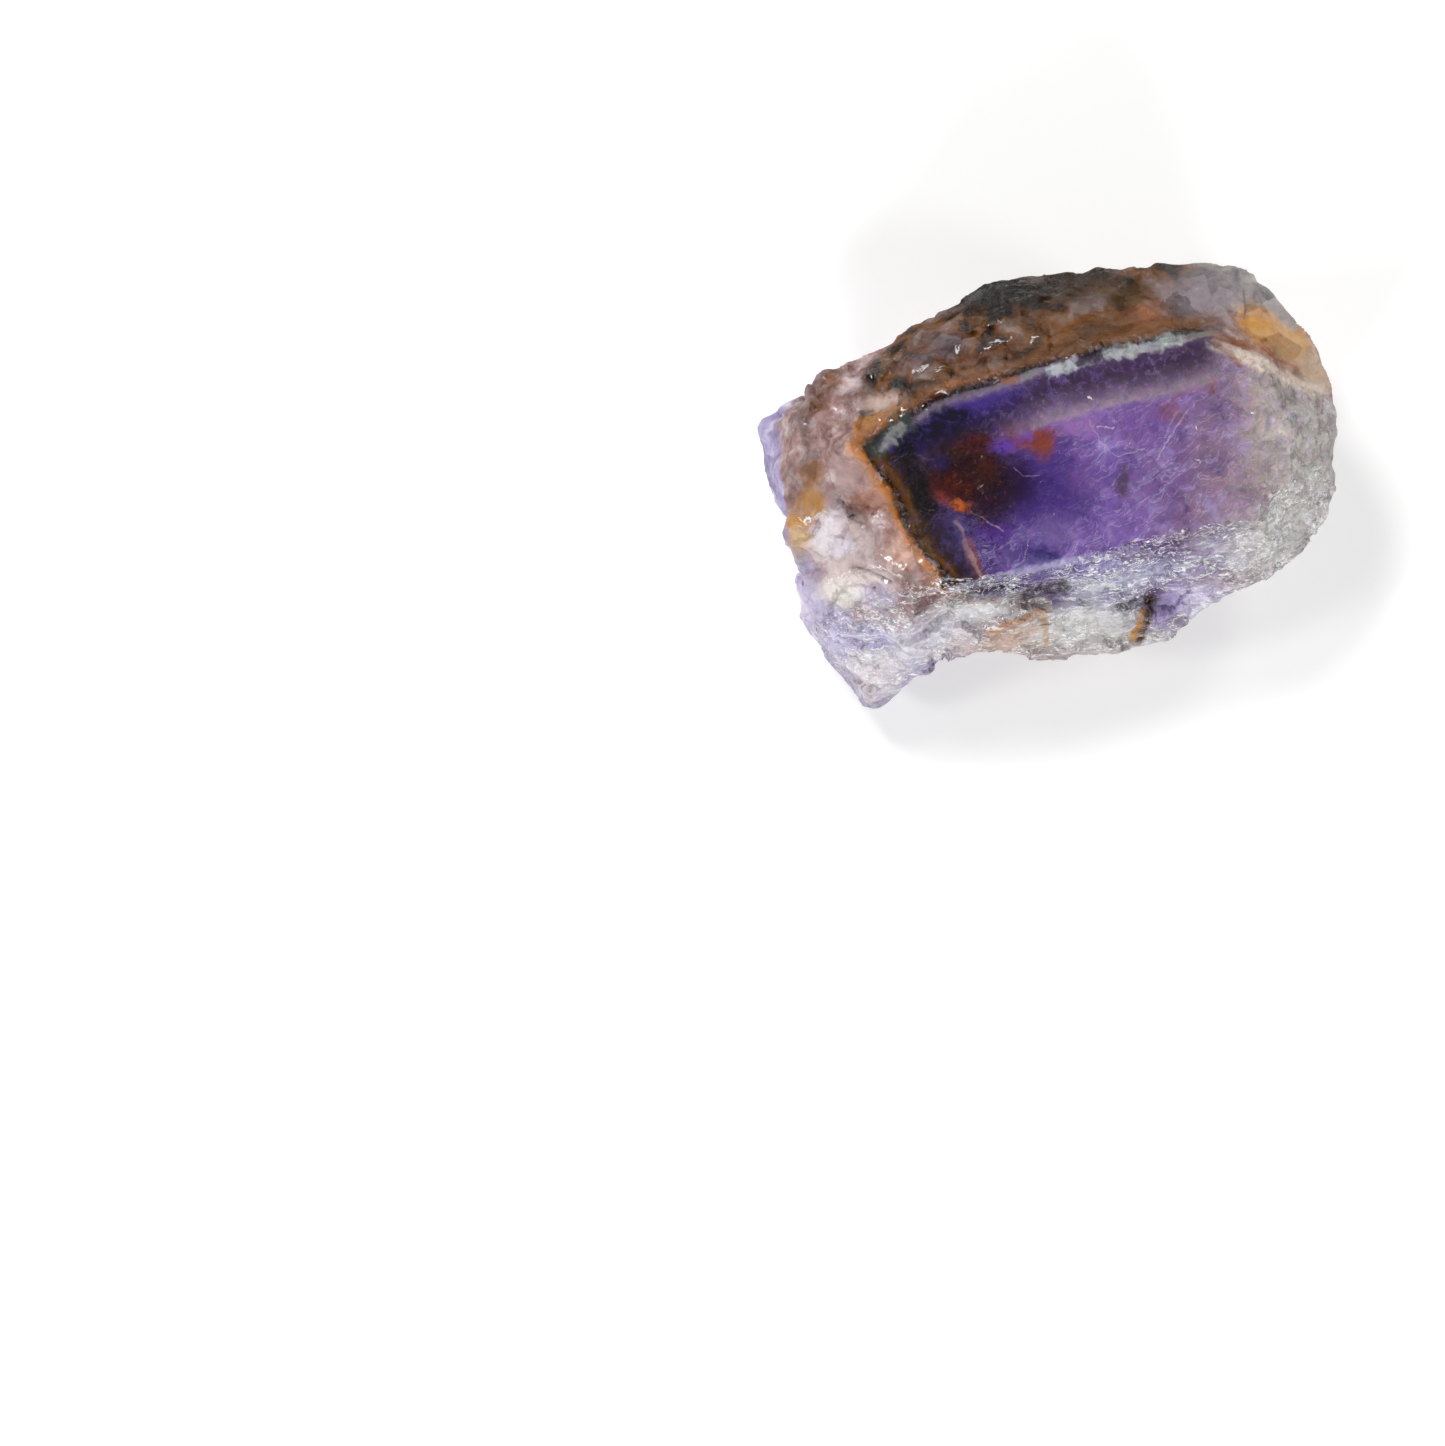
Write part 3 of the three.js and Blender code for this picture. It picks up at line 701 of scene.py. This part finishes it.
def small_chips(tree, colour, torn, steep, along, clean):
    """Small shell-shaped chips, about a millimetre across and drawn out along the layers.

    Gives the colour with a painted shade for every chip, lighter or darker as if it leaned to the light,
    the surface direction with the chips pressed in, the way that each chip and facet leans, and the grain
    of the quartz.
    """
    drawn_out = add(tree, "VectorMath", [torn, (0.6, 1.0, 1.0)], operation="MULTIPLY")
    chips = add(tree, "TexVoronoi", {"Vector": drawn_out, "Scale": 0.9})
    finer = add(tree, "TexVoronoi", {"Vector": drawn_out, "Scale": 2.2})
    chip_colour = chips.node.outputs["Color"]
    finer_colour = finer.node.outputs["Color"]
    height = add(tree, "Math", [chips, chips], operation="MULTIPLY")
    finely = add(tree, "Math", [finer, finer], operation="MULTIPLY")
    height = add(tree, "Math", [finely, 0.45, height], operation="MULTIPLY_ADD")
    grain = add(tree, "TexNoise", {"Vector": torn, "Scale": 1.6, "Detail": 6.0, "Roughness": 0.65})
    height = add(tree, "Math", [grain, 0.30, height], operation="MULTIPLY_ADD")
    rough_end = add(tree, "MapRange", [along, 12.0, 23.0, 0.0, 0.55], **SOFT_RISE)
    rugged = add(tree, "Math", [steep, rough_end], operation="MAXIMUM")
    depth = add(tree, "MapRange", {"Value": rugged, "To Min": 0.05, "To Max": 1.0})
    smoother = add(tree, "Math", [clean, -0.6, 1.0], operation="MULTIPLY_ADD")
    depth = add(tree, "Math", [depth, smoother], operation="MULTIPLY")
    height = add(tree, "Math", [height, depth], operation="MULTIPLY")
    bump = add(tree, "Bump", {"Strength": 1.0, "Distance": 0.5 * MM, "Height": height})

    # Painted shade: each chip a little lighter or darker, as if lit its own way
    painted_facet_shade = add(tree, "SeparateColor", [chip_colour]).node.outputs["Red"]
    painted_facet_shade = add(tree, "MapRange", {"Value": painted_facet_shade, "To Min": 0.25, "To Max": 0.75})
    # Painted shade from chip to chip, as if each leaned to the light its own way, weaker on the flat breaks
    painted_shade_strength = add(tree, "Math", [clean, -0.32, 0.45], operation="MULTIPLY_ADD")
    painted_shade_share = add(tree, "Math", [rugged, painted_shade_strength], operation="MULTIPLY")
    colour = add(tree, "Mix", [painted_shade_share, colour, painted_facet_shade], data_type="RGBA", blend_type="OVERLAY")

    # Each chip and each tiny facet of torn quartz catches the light its own way
    spark = add(tree, "MapRange", {"Value": rugged, "To Min": 0.06, "To Max": 1.0})
    chance = add(tree, "SeparateColor", [finer_colour]).node.outputs["Blue"]
    chosen = add(tree, "MapRange", [chance, 0.985, 0.99], **SOFT_RISE)
    spark = add(tree, "Math", [spark, chosen], operation="MAXIMUM")
    facets = add(tree, "Mix", [0.6, chip_colour, finer_colour], data_type="RGBA")
    facets = add(tree, "VectorMath", [facets, MIDDLE], operation="SUBTRACT")
    facets = add(tree, "VectorMath", {0: facets, "Scale": spark}, operation="SCALE")
    return colour, bump, facets, grain


def chevron_amethyst():
    """Broken quartz: glassy where it chipped and frosted where it tore.

    A little light goes under its skin, but its layers and cracks hide what lies deeper. The
    colour lies in layers through the whole stone, so it follows the places in the stone.
    """
    material, tree = new_material("chevron amethyst, broken")
    metres = add(tree, "TexCoord").node.outputs["Object"]
    place = add(tree, "Mapping", {"Vector": metres, "Scale": (1 / MM,) * 3})
    normal = add(tree, "NewGeometry").node.outputs["Normal"]
    # The textures of the body colour read the places bent once, so that they are done before the
    # many stains, which read the places bent twice, and little has to be kept at once
    flowing = bent(tree, place, 4.5, 0.35, 2.0)
    grown = bent(tree, flowing, 0.7, 0.20, 5.0)
    shaken = bent(tree, place, 2.8, 0.55, 2.0)
    torn = bent(tree, shaken, 0.7, 0.40, 6.0)

    upper = outside_arm(tree, grown, UPPER_ARM[0])
    for arm in UPPER_ARM[1:]:
        upper = add(tree, "Math", [upper, outside_arm(tree, grown, arm)], operation="MAXIMUM")
    lower = add(tree, "Math", [outside_arm(tree, grown, LOWER_ARM), LOWER_ARM_SPREAD], operation="MULTIPLY")
    outside = add(tree, "Math", [upper, lower, POINT_ROUNDING], operation="SMOOTH_MAX")
    in_quartz = add(tree, "Math", [outside, outside_arm(tree, grown, END_SHEET)], operation="MAXIMUM")
    on_lower = add(tree, "Math", [lower, upper], operation="SUBTRACT")
    on_lower = add(tree, "MapRange", [on_lower, -ZONE_EDGE, ZONE_EDGE], **SOFT_RISE)
    along = add(tree, "VectorMath", [torn, (1, 0, 0)], operation="DOT_PRODUCT")

    # The violet heart, the quartz outside it and the layers between them
    patchy = add(tree, "TexNoise", {"Vector": shaken, "Scale": 1.3, "Detail": 4.0, "Roughness": 0.7})
    patchy = add(tree, "MapRange", [patchy, 0.35, 0.55, 0.45, 1.0], **SOFT_RISE)
    heart = violet_heart(tree, shaken, along)
    heart = stained(tree, heart, torn, FACE_STAINS)
    heart = iron_grains(tree, heart, grown, along)
    heart = streaked(tree, heart, grown, FACE_STREAKS, patchy)
    quartz = outer_quartz(tree, flowing, upper, lower, along)
    quartz = stained(tree, quartz, torn, OUTER_STAINS)
    in_quartz = add(tree, "MapRange", [in_quartz, -ZONE_EDGE, ZONE_EDGE], **SOFT_RISE)
    colour = add(tree, "Mix", [in_quartz, heart, quartz], data_type="RGBA")
    colour = streaked(tree, colour, grown, OUTER_STREAKS, patchy)
    arm_colour, arm_cover = arm_layers(tree, outside, on_lower, along, place, patchy)
    colour = add(tree, "Mix", [arm_cover, colour, arm_colour], data_type="RGBA")
    colour = streaked(tree, colour, torn, POINT_STREAKS, patchy)

    # Below the front edge the stone is torn; its pale frosted streaks are partly painted sparkle
    up = add(tree, "VectorMath", [normal, (0, 0, 1)], operation="DOT_PRODUCT")
    colour = stained(tree, colour, torn, FRONT_STAINS)
    # Painted glints off the clean breaks, broken up in patches
    broken_up = add(tree, "TexNoise", {"Vector": torn, "Scale": 1.9, "Detail": 2.0, "Roughness": 0.6})
    broken_up = add(tree, "MapRange", [broken_up, 0.44, 0.54], **SOFT_RISE)
    colour = streaked(tree, colour, torn, PAINTED_GLINTS, broken_up)
    ahead = add(tree, "VectorMath", [place, (0.3, -1, 0)], operation="DOT_PRODUCT")
    high = add(tree, "VectorMath", [place, (0, 0, 1)], operation="DOT_PRODUCT")
    high = add(tree, "MapRange", [high, 4.0, 13.0, 0.45, 1.0], **SOFT_RISE)
    steep = add(tree, "MapRange", [up, 0.97, 0.88], **SOFT_RISE)
    in_front = add(tree, "MapRange", [ahead, 4.5, 7.0], **SOFT_RISE)
    slope = add(tree, "Math", [steep, in_front], operation="MULTIPLY")
    # Pale frosted streaks on the torn slope, partly a painted sparkle
    streaky = add(tree, "Mapping", {
        "Vector": flowing, "Rotation": (0, 0, math.radians(-8)), "Scale": (0.3, 1.2, 1.2),
    })
    streaks = add(tree, "TexNoise", {"Vector": streaky, "Scale": 1.6, "Detail": 5.0, "Roughness": 0.6})
    streaks = add(tree, "MapRange", [streaks, 0.52, 0.72], **SOFT_RISE)
    share = add(tree, "Math", [slope, streaks], operation="MULTIPLY")
    colour = add(tree, "Mix", [share, colour, srgb("#dddbe6")], data_type="RGBA")

    # Flat breaks lie outside the arms and behind the torn slope
    clean = add(tree, "Math", [1.0, slope], operation="SUBTRACT")
    clean = add(tree, "Math", [clean, in_quartz], operation="MULTIPLY")
    colour, block_tilt = flat_breaks(tree, colour, flowing, clean)
    colour = mottled(tree, colour, grown, clean)
    # Painted glints: white flecks and hair lines, thickest on the torn slope
    colour = with_painted_glints(tree, colour, shaken, torn, slope, high)
    colour = streaked(tree, colour, grown, FRONT_STREAKS, patchy)
    colour, bump, facets, grain = small_chips(tree, colour, torn, steep, along, clean)

    # The glassy skin takes the whole tilt of the facets, and the body under it a third
    bump = add(tree, "VectorMath", [bump, block_tilt], operation="ADD")
    tilted = add(tree, "VectorMath", [bump, facets], operation="ADD")
    tilted = add(tree, "VectorMath", [tilted], operation="NORMALIZE")
    body_facets = add(tree, "VectorMath", {0: facets, "Scale": 0.35}, operation="SCALE")
    body_normal = add(tree, "VectorMath", [bump, body_facets], operation="ADD")
    body_normal = add(tree, "VectorMath", [body_normal], operation="NORMALIZE")

    rough = add(tree, "MapRange", {
        "Value": grain, "From Min": 0.3, "From Max": 0.7, "To Min": 0.25, "To Max": 0.45,
    })
    # The steep sides are weathered and mirror less than the fresh breaks
    gloss = add(tree, "MapRange", {
        "Value": up, "From Min": 0.35, "From Max": 0.8, "To Min": 0.35, "To Max": 0.8,
    })
    shader = add(tree, "BsdfPrincipled", {
        "Base Color": colour,
        "Roughness": rough,
        "IOR": QUARTZ_IOR,
        "Specular IOR Level": 0.0,
        "Normal": body_normal,
        "Subsurface Weight": 0.10,
        "Subsurface Radius": (1.0, 0.8, 1.0),
        "Subsurface Scale": 0.6 * MM,
        "Coat Weight": gloss,
        "Coat Roughness": 0.05,
        "Coat IOR": QUARTZ_IOR,
        "Coat Normal": tilted,
    })
    add(tree, "OutputMaterial", {"Surface": shader})
    return material


def lit_panel():
    """Matt opal acrylic, lit a little from below, which gives a clean white without hard shadows."""
    material, tree = new_material("opal acrylic, lit")
    shader = add(tree, "BsdfPrincipled", {
        "Base Color": srgb("#f6f6f5"),
        "Roughness": 0.9,
        "Emission Color": srgb("#ffffff"),
        "Emission Strength": 0.16,
    })
    add(tree, "OutputMaterial", {"Surface": shader})
    return material


# The lit panel, the lights and the camera


def table():
    """The lit panel that the stone lies on."""
    top = bmesh.new()
    bmesh.ops.create_grid(top, x_segments=1, y_segments=1, size=PANEL_REACH)
    mesh = bpy.data.meshes.new("table")
    top.to_mesh(mesh)
    top.free()
    mesh.materials.append(lit_panel())
    added("table", mesh)


def pale_room():
    """A room with pale walls and a dim ceiling, so that the flat faces mirror little light."""
    world = bpy.data.worlds.new("pale room")
    world.use_nodes = True
    tree = world.node_tree
    tree.nodes.clear()
    direction = add(tree, "TexCoord")
    height = add(tree, "VectorMath", [direction, (0, 0, 1)], operation="DOT_PRODUCT")
    brightness = add(tree, "MapRange", {"Value": height, "To Min": 0.35, "To Max": 0.10})
    light = add(tree, "Background", {"Color": srgb("#f2f4f8"), "Strength": brightness})
    add(tree, "OutputWorld", {"Surface": light})
    bpy.context.scene.world = world


def lamp(name, azimuth, elevation, size, power):
    """A square soft box that faces the stone from an azimuth and elevation in degrees."""
    data = bpy.data.lights.new(name, "AREA")
    data.shape = "SQUARE"
    data.size = size
    data.energy = power
    around, up = math.radians(azimuth), math.radians(elevation)
    direction = Vector((math.cos(up) * math.cos(around), math.cos(up) * math.sin(around), math.sin(up)))
    soft_box = added(name, data)
    soft_box.location = direction * LAMP_DISTANCE + Vector((0, 0, LAMP_AIM))
    soft_box.rotation_euler = direction.to_track_quat("Z", "Y").to_euler()


def studio():
    """The light of the room and the soft boxes."""
    bpy.context.scene.view_settings.view_transform = "Standard"
    pale_room()
    for settings in LAMPS:
        lamp(*settings)


def camera():
    data = bpy.data.cameras.new("camera")
    data.lens = CAMERA_LENS
    data.sensor_width = CAMERA_SENSOR
    data.clip_start = 0.05
    data.clip_end = 10
    eye = added("camera", data)
    eye.location = Vector(CAMERA_PLACE) * MM
    bpy.context.scene.camera = eye


camera()
studio()
table()

stone = broken_stone()
stone.data.materials.clear()
stone.data.materials.append(chevron_amethyst())
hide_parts("amethyst_chunk")
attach(stone, "root")
